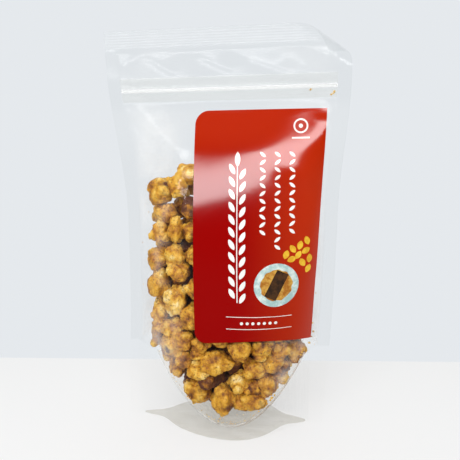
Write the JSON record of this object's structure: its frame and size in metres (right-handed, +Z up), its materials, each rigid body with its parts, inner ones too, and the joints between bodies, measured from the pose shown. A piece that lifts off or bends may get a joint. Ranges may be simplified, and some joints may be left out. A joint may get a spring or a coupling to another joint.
{
  "type": "bag of rice crackers",
  "caption": "Clear stand-up zip pouch of nubbly soy-glazed rice crackers, with a crimped top seal, a gusseted foot and a red sticker.",
  "frame": {"origin": "on the surface the pouch stands on, under the middle of its bounding box", "axes": "+Z up, front face and sticker towards -Y, +X to the right as seen from the front"},
  "size_m": [0.1208, 0.0494, 0.2047],
  "materials": {
    "film": "clear glossy film, a little hazy",
    "sticker": "glossy laminated red print",
    "cracker": "puffed rice, golden brown with darker soy glaze"
  },
  "bodies": {
    "root": {"pouch": "film", "label": "sticker"}
  },
  "joints": []
}
